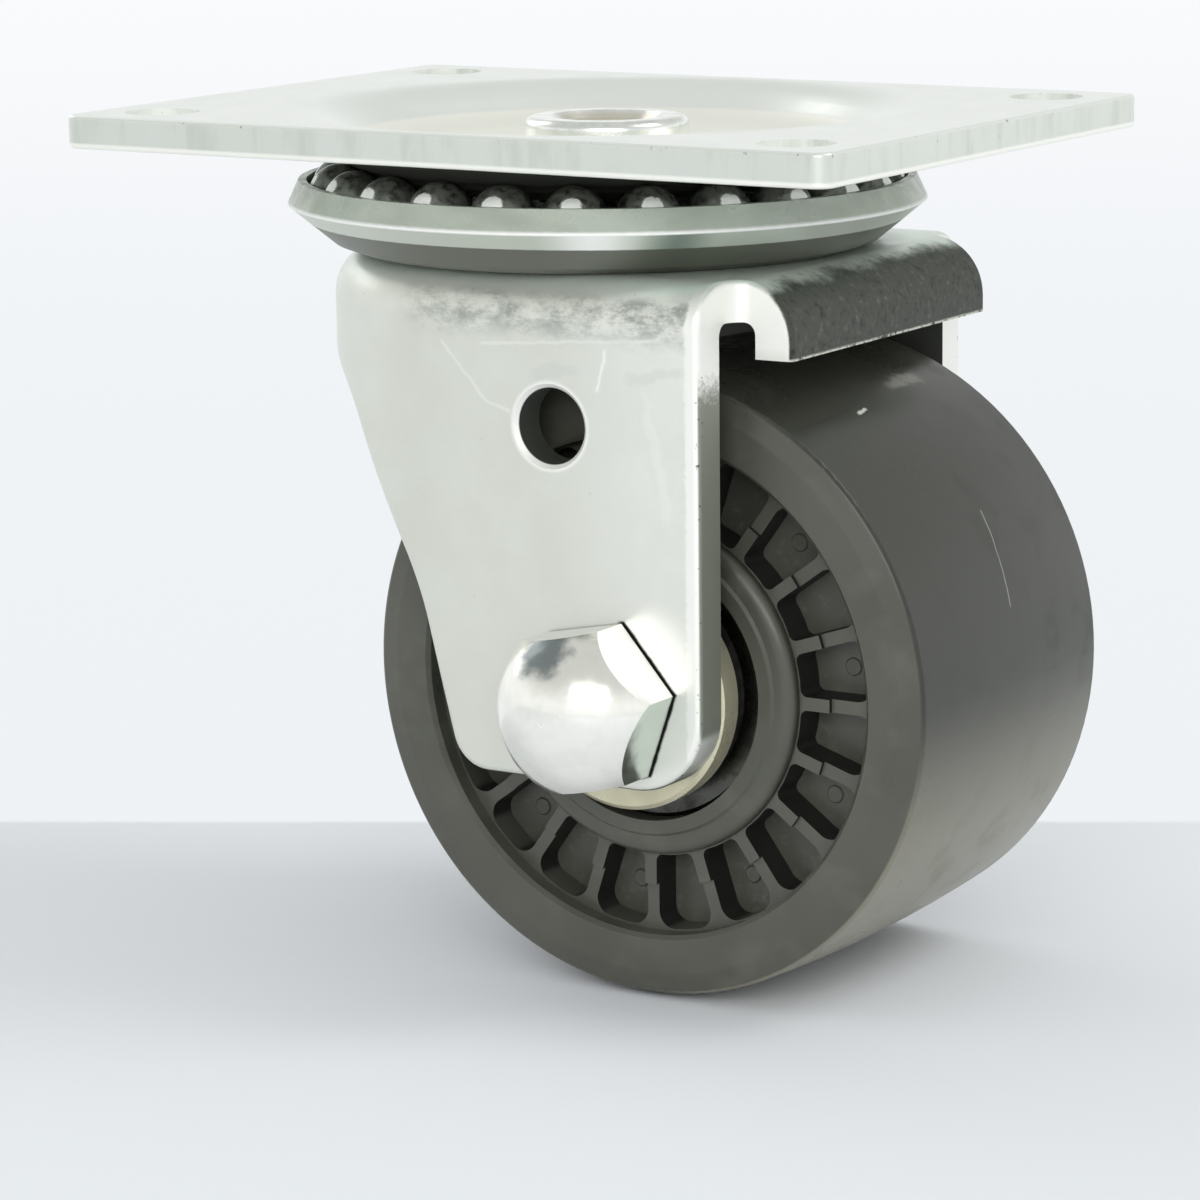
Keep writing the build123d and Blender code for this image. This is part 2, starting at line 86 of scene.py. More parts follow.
class Wire:
    """A shader socket that takes part in Python expressions."""

    def __init__(self, graph: "Graph", socket: Optional[bpy.types.NodeSocket]) -> None:
        """Wrap an output socket of a graph, or nothing for a node that has no output."""
        self.graph = graph
        self.socket = socket

    def maths(self, operation: str, *values: Value) -> "Wire":
        """Add one Math node for an operation on plain values and wires."""
        return self.graph.node("ShaderNodeMath", {"operation": operation}, dict(enumerate(values)))

    def __add__(self, other: Value) -> "Wire":
        """Sum."""
        return self.maths("ADD", self, other)

    def __radd__(self, other: Value) -> "Wire":
        """Reflected sum."""
        return self.maths("ADD", other, self)

    def __sub__(self, other: Value) -> "Wire":
        """Difference."""
        return self.maths("SUBTRACT", self, other)

    def __rsub__(self, other: Value) -> "Wire":
        """Reflected difference."""
        return self.maths("SUBTRACT", other, self)

    def __mul__(self, other: Value) -> "Wire":
        """Product."""
        return self.maths("MULTIPLY", self, other)

    def __rmul__(self, other: Value) -> "Wire":
        """Reflected product."""
        return self.maths("MULTIPLY", other, self)

    def __truediv__(self, other: Value) -> "Wire":
        """Quotient."""
        return self.maths("DIVIDE", self, other)

    def __abs__(self) -> "Wire":
        """Size without sign."""
        return self.maths("ABSOLUTE", self)

    def root(self) -> "Wire":
        """Square root."""
        return self.maths("SQRT", self)

    def turn_from(self, other: Value) -> "Wire":
        """Angle in radians from the other's axis towards this one's."""
        return self.maths("ARCTAN2", self, other)

    def at_most(self, other: Value) -> "Wire":
        """The smaller of two."""
        return self.maths("MINIMUM", self, other)

    def at_least(self, other: Value) -> "Wire":
        """The larger of two."""
        return self.maths("MAXIMUM", self, other)

    def step(self, low: float, high: float) -> "Wire":
        """Rise smoothly from 0 at low to 1 at high, or fall where low is the larger.

        Args:
            low: value that gives 0.
            high: value that gives 1.

        Returns:
            A factor between 0 and 1.
        """
        falls = low > high
        first, last = (high, low) if falls else (low, high)
        settings = {"interpolation_type": "SMOOTHSTEP"}
        rise = self.graph.node("ShaderNodeMapRange", settings, {0: self, 1: first, 2: last})
        return 1 - rise if falls else rise


@dataclass(frozen=True)
class Rub:
    """A worn or scratched line between two points of a surface."""

    start: tuple[float, float]
    end: tuple[float, float]
    half_width: float
    tone: Colour
    share: float

    def stretched(self, factor: float) -> "Rub":
        """The same line with its first coordinate multiplied."""
        start, end = ((first * factor, second) for first, second in (self.start, self.end))
        return replace(self, start=start, end=end)


class Graph:
    """The node tree of one material or of the world, with the patterns that the finishes share."""

    def __init__(self, tree: bpy.types.NodeTree) -> None:
        """Start from an empty tree."""
        self.tree = tree
        tree.nodes.clear()

    def node(
        self,
        kind: str,
        settings: Optional[Mapping[str, Any]] = None,
        inputs: Optional[Mapping[Union[int, str], Value]] = None,
        output: Union[int, str] = 0,
    ) -> Wire:
        """Add a node.

        Args:
            kind: the node's type.
            settings: properties, which are set first.
            inputs: plain values or wires by socket name or number.
            output: the output that is wanted.

        Returns:
            A wire from that output.
        """
        made = self.tree.nodes.new(kind)
        for name, value in (settings or {}).items():
            setattr(made, name, value)
        for key, value in (inputs or {}).items():
            socket = made.inputs[key]
            if isinstance(value, Wire):
                self.tree.links.new(value.socket, socket)
            elif isinstance(value, (int, float)):
                socket.default_value = value
            else:
                full = (*value, 1.0) if socket.type == "RGBA" and len(value) == 3 else value
                socket.default_value = full
        return Wire(self, made.outputs[output]) if made.outputs else Wire(self, None)

    def place(self) -> Wire:
        """Object coordinates, which are the part's own frame in metres."""
        return self.node("ShaderNodeTexCoord", output="Object")

    def facing(self) -> Wire:
        """The surface's normal in the part's own frame."""
        return self.node("ShaderNodeTexCoord", output="Normal")

    def split(self, vector: Wire) -> tuple[Wire, Wire, Wire]:
        """The three numbers of a vector."""
        parts = self.node("ShaderNodeSeparateXYZ", inputs={0: vector})
        outputs = parts.socket.node.outputs
        return Wire(self, outputs[0]), Wire(self, outputs[1]), Wire(self, outputs[2])

    def moved(self, shift_mm: Sequence[float], stretch: Sequence[float] = (1, 1, 1)) -> Wire:
        """Object coordinates in millimetres, stretched and shifted.

        Args:
            shift_mm: what is added after stretching, which also picks another part of a noise.
            stretch: how many times longer a pattern gets along each axis.

        Returns:
            A vector to feed a texture.
        """
        scale = [1 / MM / length for length in stretch]
        return self.node("ShaderNodeMapping", inputs={0: self.place(), "Location": shift_mm, "Scale": scale})

    def noise(
        self,
        grain_mm: float,
        detail: float = 3.0,
        rough: float = 0.5,
        shift: Sequence[float] = (0, 0, 0),
        stretch: Sequence[float] = (1, 1, 1),
    ) -> Wire:
        """Soft noise with a stated grain.

        Args:
            grain_mm: size of its largest blotches.
            detail: how many finer layers it has.
            rough: weight of the finer layers.
            shift: picks another part of the noise.
            stretch: how many times longer the blotches are along each axis.

        Returns:
            A factor that hovers round 0.5.
        """
        inputs = {
            "Vector": self.moved(shift, stretch),
            "Scale": 1 / grain_mm,
            "Detail": detail,
            "Roughness": rough,
        }
        return self.node("ShaderNodeTexNoise", inputs=inputs)

    def specks(self, pitch_mm: float, radius: float, shift: Sequence[float] = (0, 0, 0)) -> Wire:
        """Scattered round specks.

        Args:
            pitch_mm: rough distance between specks.
            radius: a speck's radius as a share of the pitch.
            shift: picks another scatter.

        Returns:
            A factor of 1 in a speck's middle and 0 outside.
        """
        inputs = {"Vector": self.moved(shift), "Scale": 1 / pitch_mm, "Randomness": 1.0}
        return self.node("ShaderNodeTexVoronoi", inputs=inputs).step(radius, radius * 0.4)

    def mix(self, first: Value, second: Value, factor: Value) -> Wire:
        """Mix two colours."""
        settings = {"data_type": "RGBA"}
        return self.node("ShaderNodeMix", settings, {0: factor, 6: first, 7: second}, output=2)

    def bump(self, height: Wire, depth_mm: float, under: Optional[Wire] = None) -> Wire:
        """Turn a height between 0 and 1 into a normal.

        Args:
            height: the height pattern.
            depth_mm: the real depth from 0 to 1.
            under: a coarser bump that this one lies on.

        Returns:
            A normal.
        """
        inputs: dict[Union[int, str], Value] = {"Height": height, "Distance": depth_mm * MM, "Strength": 1.0}
        if under is not None:
            inputs["Normal"] = under
        return self.node("ShaderNodeBump", inputs=inputs)

    def spot(self) -> Spot:
        """Object coordinates in millimetres, one by one."""
        return self.split(self.moved((0, 0, 0)))

    @staticmethod
    def length(*parts: Wire) -> Wire:
        """Length of the vector that has these parts."""
        return reduce(Wire.__add__, [part * part for part in parts]).root()

    def from_axle(self) -> Wire:
        """Distance from the axle's line in millimetres."""
        x, _, z = self.spot()
        return self.length(x - AXLE.x, z - AXLE.z)

    def axle_angle(self) -> Wire:
        """Angle round the axle in radians, from straight up towards +X."""
        x, _, z = self.spot()
        return (x - AXLE.x).turn_from(z - AXLE.z)

    def mark(self, across: tuple[Wire, Wire], rub: Rub, wander: Wire) -> Wire:
        """Where a rub lies on a surface.

        Args:
            across: the two coordinates that the line is drawn in, in millimetres.
            rub: the line, in those coordinates.
            wander: a noise that makes the line uneven.

        Returns:
            A factor of 1 on the line.
        """
        first = across[0] - rub.start[0]
        second = across[1] - rub.start[1]
        half = rub.half_width
        run = Vector(rub.end) - Vector(rub.start)
        run_first, run_second = run.normalized()
        along = first * run_first + second * run_second
        off = second * run_first - first * run_second + (wander - 0.5) * (half * 3)
        inside = along.step(-half, half) * along.step(run.length + half, run.length - half)
        return abs(off).step(half, half * 0.3) * inside


@dataclass(frozen=True)
class Coat:
    """What a finish gives its shader over the surface."""

    graph: Graph
    colour: Wire
    rough: Wire
    normal: Wire

    def painted(self, tone: Value, mask: Wire, rough: Optional[float] = None) -> "Coat":
        """Lay a tone over part of the surface.

        Args:
            tone: the colour laid on.
            mask: 1 where it covers fully.
            rough: its roughness, or the old one.

        Returns:
            The new coat.
        """
        colour = self.graph.mix(self.colour, tone, mask)
        roughness = self.rough if rough is None else self.rough * (1 - mask) + mask * rough
        return replace(self, colour=colour, rough=roughness)

    def rippled(self, height: Wire, depth_mm: float) -> "Coat":
        """Add relief on top of what there is."""
        return replace(self, normal=self.graph.bump(height, depth_mm, self.normal))


@dataclass(frozen=True)
class Finish:
    """A procedural material with a name from the record's slots."""

    name: str
    metal: float = 1.0

    def coat(self, graph: Graph) -> Coat:
        """The finish's pattern, which each kind of finish defines.

        Args:
            graph: where the nodes go.

        Returns:
            The coat.
        """
        raise NotImplementedError

    def material(self) -> bpy.types.Material:
        """The finished material."""
        material = bpy.data.materials.new(self.name)
        material.use_nodes = True
        graph = Graph(material.node_tree)
        coat = self.coat(graph)
        shader = {
            "Base Color": coat.colour,
            "Metallic": self.metal,
            "Roughness": coat.rough,
            "Normal": coat.normal,
        }
        surface = graph.node("ShaderNodeBsdfPrincipled", inputs=shader)
        graph.node("ShaderNodeOutputMaterial", inputs={"Surface": surface})
        log.info("made finish %s", self.name)
        return material


@dataclass(frozen=True)
class ZincFinish(Finish):
    """Zinc plated steel with a milky satin bloom, faint ripples and a few dull specks."""

    light: Colour = (0.86, 0.88, 0.83)
    dull: Colour = (0.72, 0.75, 0.68)
    speck: Colour = (0.3, 0.31, 0.28)
    gloss: float = 0.32
    gloss_swing: float = 0.14
    bloom_mm: float = 22.0
    speck_pitch: float = 5.0
    ripple_depth: float = 0.012

    def coat(self, graph: Graph) -> Coat:
        """Blooms, mottle and ripples."""
        bloom = graph.noise(self.bloom_mm, 3.0, 0.55, (3, 7, 1)).step(0.32, 0.68)
        mottle = graph.noise(self.bloom_mm / 6, 2.0, 0.5, (9, 2, 5)).step(0.3, 0.75)
        stain = bloom * 0.6 + mottle * 0.4
        specks = graph.specks(self.speck_pitch, 0.05, (5, 3, 2))
        colour = graph.mix(graph.mix(self.light, self.dull, stain), self.speck, specks * 0.6)
        rough = self.gloss + (mottle - 0.5) * self.gloss_swing
        return Coat(graph, colour, rough, graph.bump(mottle, self.ripple_depth))


@dataclass(frozen=True)
class PlateFinish(ZincFinish):
    """The top plate: near white on top, nicked edges, and a greasy race underneath."""

    top: Colour = (0.965, 0.98, 0.95)
    bore: Colour = (1.0, 1.0, 0.98)
    sheared: Colour = (0.60, 0.64, 0.56)
    edge_line: Colour = (1.0, 1.0, 0.93)
    nick: Colour = (0.25, 0.27, 0.24)
    grease: Colour = (0.13, 0.135, 0.11)
    bore_x: float = 49.5
    bore_y: float = 37.5
    bore_reach: float = 40.5
    nick_z: Ramp = (-0.75, -0.4)
    under_z: float = -3.4
    race_reach: float = 38.0

    def coat(self, graph: Graph) -> Coat:
        """The tone of each face, then a painted highlight along the lower edge, nicks and grease."""
        coat = super().coat(graph)
        x, y, z = graph.spot()
        _, _, up = graph.split(graph.facing())
        reach = graph.length(x, y)
        coat = self.bolt_holes(coat, abs(x), abs(y), reach, up)
        streaks = graph.noise(3.0, 3.0, 0.6, (2, 8, 3), (1, 1, 6)).step(0.45, 0.7)
        coat = coat.painted(self.top, up.step(0.3, 0.8) * 0.85)
        coat = coat.painted(self.sheared, abs(up).step(0.5, 0.2) * (0.3 + streaks * 0.35))
        # Painted highlight: a bright line along the plate's lower edge.
        low_edge = z.step(self.under_z + 0.25, self.under_z - 0.1) * up.step(-0.95, -0.75)
        coat = coat.painted(self.edge_line, low_edge, 0.45)
        nicks = graph.noise(1.3, 2.0, 0.5, (6, 6, 1)).step(0.68, 0.74)
        coat = coat.painted(self.nick, nicks * z.step(*self.nick_z) * up.step(0.95, 0.6) * 0.8)
        below = z.step(self.under_z - 0.4, self.under_z - 0.7)
        race = below * reach.step(self.race_reach, self.race_reach - 3)
        return coat.painted(self.grease, race * up.step(0.2, -0.2) * 0.94, 0.42)

    def bolt_holes(self, coat: Coat, wide_x: Wire, wide_y: Wire, reach: Wire, up: Wire) -> Coat:
        """Pale walls of the four bolt holes, which lie inside the plate's outline and outside its dish.

        Args:
            coat: the coat so far.
            wide_x: distance from the middle along X.
            wide_y: distance from the middle along Y.
            reach: distance from the kingpin's axis.
            up: the normal's upward part.

        Returns:
            The new coat.
        """
        along = wide_x.step(self.bore_x + 0.5, self.bore_x - 0.5)
        across = wide_y.step(self.bore_y + 0.5, self.bore_y - 0.5)
        outside_dish = reach.step(self.bore_reach - 0.5, self.bore_reach + 0.5)
        return coat.painted(self.bore, along * across * outside_dish * abs(up).step(0.4, 0.2), 0.7)


@dataclass(frozen=True)
class PaintedReflection:
    """A painted reflection, light or dark, that fades to both sides along the cup's rim."""

    middle_degrees: float
    half_degrees: float
    tone: Colour
    share: float


@dataclass(frozen=True)
class TurnedFinish(ZincFinish):
    """The raceway cup: fine turning marks, a painted highlight line on the rim, a paler cone that is painted
    light, a painted highlight and a painted dark reflection along the rim, and a greasy groove.
    """

    turning: Colour = (0.34, 0.37, 0.32)
    rim: Colour = (1.0, 1.0, 0.98)
    cone: Colour = (1.0, 1.0, 0.95)
    slant: Colour = (0.58, 0.62, 0.54)
    grease: Colour = (0.11, 0.115, 0.09)
    rim_reach: float = 38.72
    groove_reach: float = 36.45
    smears: tuple[PaintedReflection, ...] = (
        PaintedReflection(-61.0, 11.0, (1.0, 1.0, 0.98), 1.0),
        PaintedReflection(-46.0, 8.0, (0.14, 0.20, 0.17), 0.75),
    )

    def coat(self, graph: Graph) -> Coat:
        """Turning marks, the cone's painted light, the painted reflections, the rim line's painted highlight
        and grease.
        """
        coat = super().coat(graph)
        x, y, _ = graph.spot()
        reach = graph.length(x, y)
        _, _, up = graph.split(graph.facing())
        marks = graph.noise(4.0, 2.0, 0.5, (1, 2, 7), (2, 2, 1)).step(0.45, 0.7)
        coat = coat.painted(self.turning, marks * 0.45)
        # Painted light: the downward-facing cone is painted near white, standing for light that does not
        # reach it.
        coat = coat.painted(self.cone, up.step(-0.75, -0.85), 0.5)
        coat = coat.painted(self.slant, up.step(-0.1, -0.3) * up.step(-0.85, -0.75), 0.35)
        # Painted reflections along the rim: a painted highlight at -61 degrees and a painted dark reflection
        # at -46 degrees.
        angle = y.turn_from(x)
        for smear in self.smears:
            off = abs(angle - math.radians(smear.middle_degrees))
            near = off.step(math.radians(smear.half_degrees), 0.0)
            coat = coat.painted(smear.tone, near * up.step(0.1, -0.1) * smear.share)
        # Painted highlight: a bright line round the outer edge of the rim.
        coat = coat.painted(self.rim, reach.step(self.rim_reach - 0.12, self.rim_reach + 0.1), 0.5)
        groove = reach.step(self.groove_reach + 0.1, self.groove_reach - 0.1)
        return coat.painted(self.grease, groove * 0.95, 0.4)


@dataclass(frozen=True)
class ForkFinish(ZincFinish):
    """The fork: milky legs, a stretched rough bend, near white cut edges that are partly painted highlight,
    and a dark grainy lip that is partly painted dark reflection.
    """

    crown: Colour = (0.88, 0.97, 0.90)
    milk: Colour = (0.73, 0.735, 0.665)
    bare: Colour = (0.97, 0.97, 0.92)
    bend_dark: Colour = (0.30, 0.33, 0.30)
    bend_pale: Colour = (0.90, 0.92, 0.88)
    dirt: Colour = (0.015, 0.016, 0.012)
    dull_edge: Colour = (0.30, 0.31, 0.26)
    torn_spot: Colour = (0.05, 0.05, 0.045)
    scale: Colour = (0.045, 0.049, 0.037)
    scale_pale: Colour = (0.20, 0.215, 0.18)
    scale_dark: Colour = (0.02, 0.022, 0.017)
    lip_rim: Colour = (0.66, 0.67, 0.58)
    inside: Colour = (0.10, 0.105, 0.09)
    hole_wall: Colour = (0.13, 0.14, 0.12)
    crown_z: float = -15.9
    under_crown_x: Ramp = (32.0, 30.0)
    bend_x: Ramp = (-12.0, -2.0)
    bend_y: Ramp = (26.0, 28.0)
    bend_z: Ramp = (-23.5, -19.0)
    leg_bare_x: Ramp = (10.0, 27.0)
    leg_out: float = 32.2
    leg_in: float = 27.4
    leg_back: float = 31.6
    border_end_z: Ramp = (-78.0, -74.0)
    dull_edge_z: Ramp = (-26.5, -30.5)
    lip_half: float = 24.0
    lip_start: float = 32.6
    lip_foot: float = -25.0
    hole: tuple[float, float] = (11.7, -34.0)
    hole_r: float = 4.5
    nut_flats: tuple[float, float, float] = (41.0, 101.0, 161.0)
    nut_reach: float = 9.0
    dirt_x: Ramp = (20.4, 21.2)
    rubs: tuple[Rub, ...] = (
        Rub((-3.3, -24.8), (-1.6, -26.6), 0.30, bare, 0.4),
        Rub((-1.6, -26.6), (2.8, -31.5), 0.30, bare, 0.4),
        Rub((2.8, -31.5), (6.3, -32.7), 0.30, bare, 0.4),
        Rub((2.3, -24.8), (26.7, -23.1), 0.28, bare, 0.35),
        Rub((19.3, -24.6), (18.2, -29.5), 0.30, bare, 0.9),
        Rub((22.0, -27.9), (29.5, -26.6), 0.9, (0.62, 0.65, 0.61), 0.28),
        Rub((24.5, -29.0), (27.5, -44.0), 0.9, bare, 0.25),
        Rub((9.5, -28.0), (15.5, -27.2), 0.9, (0.60, 0.63, 0.59), 0.28),
    )

    def coat(self, graph: Graph) -> Coat:
        """Each zone's tone, over the common plating."""
        coat = super().coat(graph)
        spot = graph.spot()
        turn = graph.split(graph.facing())
        coat = self.faces(coat, spot, turn)
        coat = self.bend(coat, spot, turn)
        coat = self.marks(coat, spot)
        coat = self.cut_edges(coat, spot, turn)
        coat = self.lip(coat, spot, turn)
        return self.hidden(coat, spot, turn)

    def faces(self, coat: Coat, spot: Spot, turn: Spot) -> Coat:
        """Greenish crown, partly painted light, and milky legs painted lighter towards their back edge."""
        graph = coat.graph
        up = turn[2]
        side = abs(turn[1])
        # Light greenish tone on the upward faces: partly the chromate tint, partly painted light on the
        # crown under the plate.
        coat = coat.painted(self.crown, up.step(0.5, 0.9) * 0.8)
        cloud = graph.noise(9.0, 4.0, 0.6, (4, 1, 2)).step(0.3, 0.7)
        leg = side.step(0.5, 0.9)
        coat = coat.painted(self.milk, leg * (0.6 + cloud * 0.35), 0.36)
        # Painted light: the legs turn lighter towards their back edge.
        return coat.painted(self.bare, leg * spot[0].step(*self.leg_bare_x) * (0.25 + cloud * 0.3))

    def bend(self, coat: Coat, spot: Spot, turn: Spot) -> Coat:
        """Coarse grain where the sheet was stretched along its bend."""
        graph = coat.graph
        x, y, z = spot
        wander = graph.noise(4.0, 3.0, 0.6, (8, 3, 3)) * 3.0
        band = (z + wander).step(*self.bend_z) * turn[2].step(0.75, 0.5)
        band = band * x.step(*self.bend_x) * abs(y).step(*self.bend_y)
        grain = graph.noise(2.4, 6.0, 0.72, (3, 3, 9), (1.8, 1, 1))
        coat = coat.painted(self.bend_dark, band * grain.step(0.40, 0.64) * 0.85, 0.5)
        coat = coat.painted(self.bend_pale, band * grain.step(0.44, 0.30) * 0.4)
        return coat.rippled(grain * band, 0.10)

    def marks(self, coat: Coat, spot: Spot) -> Coat:
        """Rubbed lines on the near leg, and a painted shadow line round the nut's flats on the nut's right
        side.
        """
        graph = coat.graph
        x, y, z = spot
        near = y.step(-self.leg_out + 1.5, -self.leg_out + 0.8)
        wander = graph.noise(2.5, 3.0, 0.6, (7, 5, 1))
        for rub in self.rubs:
            coat = coat.painted(rub.tone, graph.mark((x, z), rub, wander) * near * rub.share)
        flats = [
            abs((x - AXLE.x) * math.cos(angle) + (z - AXLE.z) * math.sin(angle))
            for angle in map(math.radians, self.nut_flats)
        ]
        across = reduce(Wire.at_least, flats)
        # Painted shadow: a dark line round the nut's flats on the leg, on the right of the nut only.
        line = (across + (wander - 0.5) * 0.5).step(self.nut_reach + 0.4, self.nut_reach + 0.1)
        return coat.painted(self.dirt, line * near * x.step(*self.dirt_x), 0.6)

    def cut_edges(self, coat: Coat, spot: Spot, turn: Spot) -> Coat:
        """Cut edges painted near white, partly raw metal and partly painted highlight, the near leg's darker
        towards the bottom, a painted highlight along the rounded back edge, and torn spots.
        """
        graph = coat.graph
        x, y, z = spot
        wide = abs(y)
        rag = graph.noise(0.8, 3.0, 0.6, (2, 2, 6))
        # Painted highlight along the rounded back edge of the legs.
        border_highlight = (x + (rag - 0.5) * 0.8).step(self.leg_back - 2.0, self.leg_back - 1.5)
        border_highlight = border_highlight * wide.step(self.leg_in, self.leg_out)
        coat = coat.painted(self.bare, border_highlight * z.step(*self.border_end_z), 0.5)
        # Cut edges that face back are painted near white: partly raw metal, partly painted highlight.
        edge = turn[0].step(0.6, 0.85) * x.step(self.leg_back - 0.4, self.leg_back - 0.1)
        coat = coat.painted(self.bare, edge * wide.step(self.lip_half - 0.3, self.lip_half + 0.1), 0.55)
        # The near leg's cut edge turns darker towards the bottom.
        low = (z + (rag - 0.5) * 6).step(*self.dull_edge_z) * wide.step(self.leg_in - 0.3, self.leg_in + 0.1)
        coat = coat.painted(self.dull_edge, edge * low * y.step(0.0, -1.0), 0.6)
        torn = rag.step(0.63, 0.68) * turn[0].step(0.3, 0.6) * z.step(self.lip_foot + 1, self.lip_foot - 1)
        torn = torn * wide.step(self.leg_out - 1.4, self.leg_out - 0.6)
        coat = coat.painted(self.torn_spot, torn * 0.9)
        # The faces in the notches are painted near white too: partly raw metal, partly painted highlight.
        notch = x.step(self.leg_back - 2.9, self.leg_back - 2.5) * abs(turn[2]).step(0.75, 0.5)
        notch = notch * wide.step(self.lip_half - 0.15, self.lip_half - 0.02)
        notch = notch * wide.step(self.leg_in + 0.4, self.leg_in - 0.1)
        return coat.painted(self.bare, notch * z.step(self.lip_foot - 1, self.lip_foot + 1), 0.55)

    def lip(self, coat: Coat, spot: Spot, turn: Spot) -> Coat:
        """Dark scale on the turned-down lip, partly a painted dark reflection, with a pale torn lower edge
        that is partly a painted highlight.
        """
        graph = coat.graph
        x, y, z = spot
        grain = graph.noise(1.1, 6.0, 0.75, (5, 9, 2))
        cloud = graph.noise(5.0, 4.0, 0.65, (1, 1, 5)) - 0.5
        outside = abs(y).step(self.lip_half, self.lip_half - 0.12)
        outside = outside * x.step(self.lip_start, self.lip_start + 0.4)
        # The dark on the lip's outward faces is partly scale and partly a painted dark reflection.
        dark_scale_and_reflection = outside * (turn[0] + cloud * 0.7).step(0.25, 0.62)
        coat = coat.painted(self.scale, dark_scale_and_reflection * 0.97, 0.5)
        coat = coat.painted(self.scale_pale, dark_scale_and_reflection * grain.step(0.54, 0.72) * 0.75)
        coat = coat.painted(self.scale_dark, dark_scale_and_reflection * grain.step(0.46, 0.36) * 0.8)
        # The pale lower edge of the lip: partly a torn burr, partly a painted highlight.
        rim = (z + (grain - 0.5) * 0.8).step(self.lip_foot - 0.3, self.lip_foot - 0.55)
        coat = coat.painted(self.lip_rim, outside * rim * grain.step(0.40, 0.52), 0.5)
        return coat.rippled(grain * outside, 0.12)

    def hidden(self, coat: Coat, spot: Spot, turn: Spot) -> Coat:
        """Painted shade on the inside faces and in the side holes' bores, and pale bevels round the side
        holes painted as highlights.
        """
        x, y, z = spot
        # Painted shade on the faces that look inwards and on the underside of the crown.
        inward = (x * turn[0] + y * turn[1]).step(-3, -8)
        below = turn[2].step(-0.6, -0.85) * z.step(self.crown_z - 2, self.crown_z - 3)
        coat = coat.painted(self.inside, inward.at_least(below * x.step(*self.under_crown_x)) * 0.95, 0.6)
        off = coat.graph.length(x - self.hole[0], z - self.hole[1])
        outer = abs(y).step(self.leg_out - 0.7, self.leg_out - 0.5)
        # Painted highlight: a pale ring round the side hole.
        ring = off.step(self.hole_r - 0.15, self.hole_r - 0.05)
        ring = ring * off.step(self.hole_r + 1.1, self.hole_r + 0.45)
        coat = coat.painted(self.bare, ring * outer, 0.5)
        # Painted shade inside the side hole's bore.
        shaded_wall = off.step(self.hole_r + 0.1, self.hole_r + 0.02)
        return coat.painted(self.hole_wall, shaded_wall * abs(y).step(self.leg_out - 0.35, self.leg_out - 0.6), 0.5)


@dataclass(frozen=True)
class PolishedFinish(Finish):
    """Bright turned or polished steel with faint smeared marks."""

    tint: Colour = (0.86, 0.87, 0.84)
    smear: Colour = (0.66, 0.70, 0.66)
    gloss: float = 0.14
    gloss_swing: float = 0.12
    grain_mm: float = 3.0
    relief: float = 0.004

    def coat(self, graph: Graph) -> Coat:
        """Smears over a bright ground."""
        smears = graph.noise(self.grain_mm, 4.0, 0.6, (2, 6, 4)).step(0.4, 0.7)
        colour = graph.mix(self.tint, self.smear, smears)
        return Coat(graph, colour, self.gloss + smears * self.gloss_swing, graph.bump(smears, self.relief))


@dataclass(frozen=True)
class BallFinish(PolishedFinish):
    """Greasy bearing balls, each with a painted highlight where it faces out of the race."""

    wiped: Colour = (1.0, 1.0, 0.97)
    slope_degrees: float = 30.0
    wiped_half_degrees: float = 17.0

    def coat(self, graph: Graph) -> Coat:
        """The painted highlight spots."""
        coat = super().coat(graph)
        x, y, _ = graph.spot()
        turn_x, turn_y, turn_z = graph.split(graph.facing())
        # Painted highlight: a bright spot on each ball where it faces outwards and 30 degrees up.
        outward = (x * turn_x + y * turn_y) / graph.length(x, y)
        slope = math.radians(self.slope_degrees)
        near = outward * math.cos(slope) + turn_z * math.sin(slope)
        rag = (graph.noise(1.0, 3.0, 0.6, (5, 1, 9)) - 0.5) * 0.06
        edge = math.cos(math.radians(self.wiped_half_degrees))
        return coat.painted(self.wiped, (near + rag).step(edge - 0.01, edge + 0.012), 0.35)


@dataclass(frozen=True)
class NutFinish(PolishedFinish):
    """The cap nut: a pale dome with a painted dark reflection, upper flats painted white as a highlight and
    side flats painted greener as a reflection.
    """

    tarnish: Colour = (0.20, 0.235, 0.245)
    top_flats: Colour = (0.9, 0.9, 0.89)
    side_flats: Colour = (0.66, 0.74, 0.67)
    seat: Colour = (0.02, 0.021, 0.017)
    patch: tuple[float, float, float] = (16.2, -41.5, -58.4)
    patch_r: float = 4.4
    seat_y: float = -32.2

    def coat(self, graph: Graph) -> Coat:
        """The painted dark reflection, the painted highlight and reflection on the flats, and painted shade
        where the nut sits on the leg.
        """
        coat = super().coat(graph)
        x, y, z = graph.spot()
        _, out, up = graph.split(graph.facing())
        # Painted dark reflection: a blue-grey patch on the dome.
        off = graph.length(x - self.patch[0], y - self.patch[1], z - self.patch[2])
        rag = graph.noise(2.2, 4.0, 0.6, (3, 1, 1))
        patch = (off + (rag - 0.5) * 4).step(self.patch_r, self.patch_r * 0.45)
        coat = coat.painted(self.tarnish, patch * 0.9)
        # Painted highlight on the upper flats and a painted greenish reflection on the side flats.
        flats = out.step(-0.35, -0.1)
        coat = coat.painted(self.top_flats, flats * up.step(0.2, 0.5), 0.4)
        coat = coat.painted(self.side_flats, flats * up.step(0.4, 0.1) * 0.85)
        # Painted shade: a dark line where the nut sits on the leg.
        seated = y.step(self.seat_y - 0.5, self.seat_y - 0.35) * out.step(0.05, 0.2)
        return coat.painted(self.seat, seated)


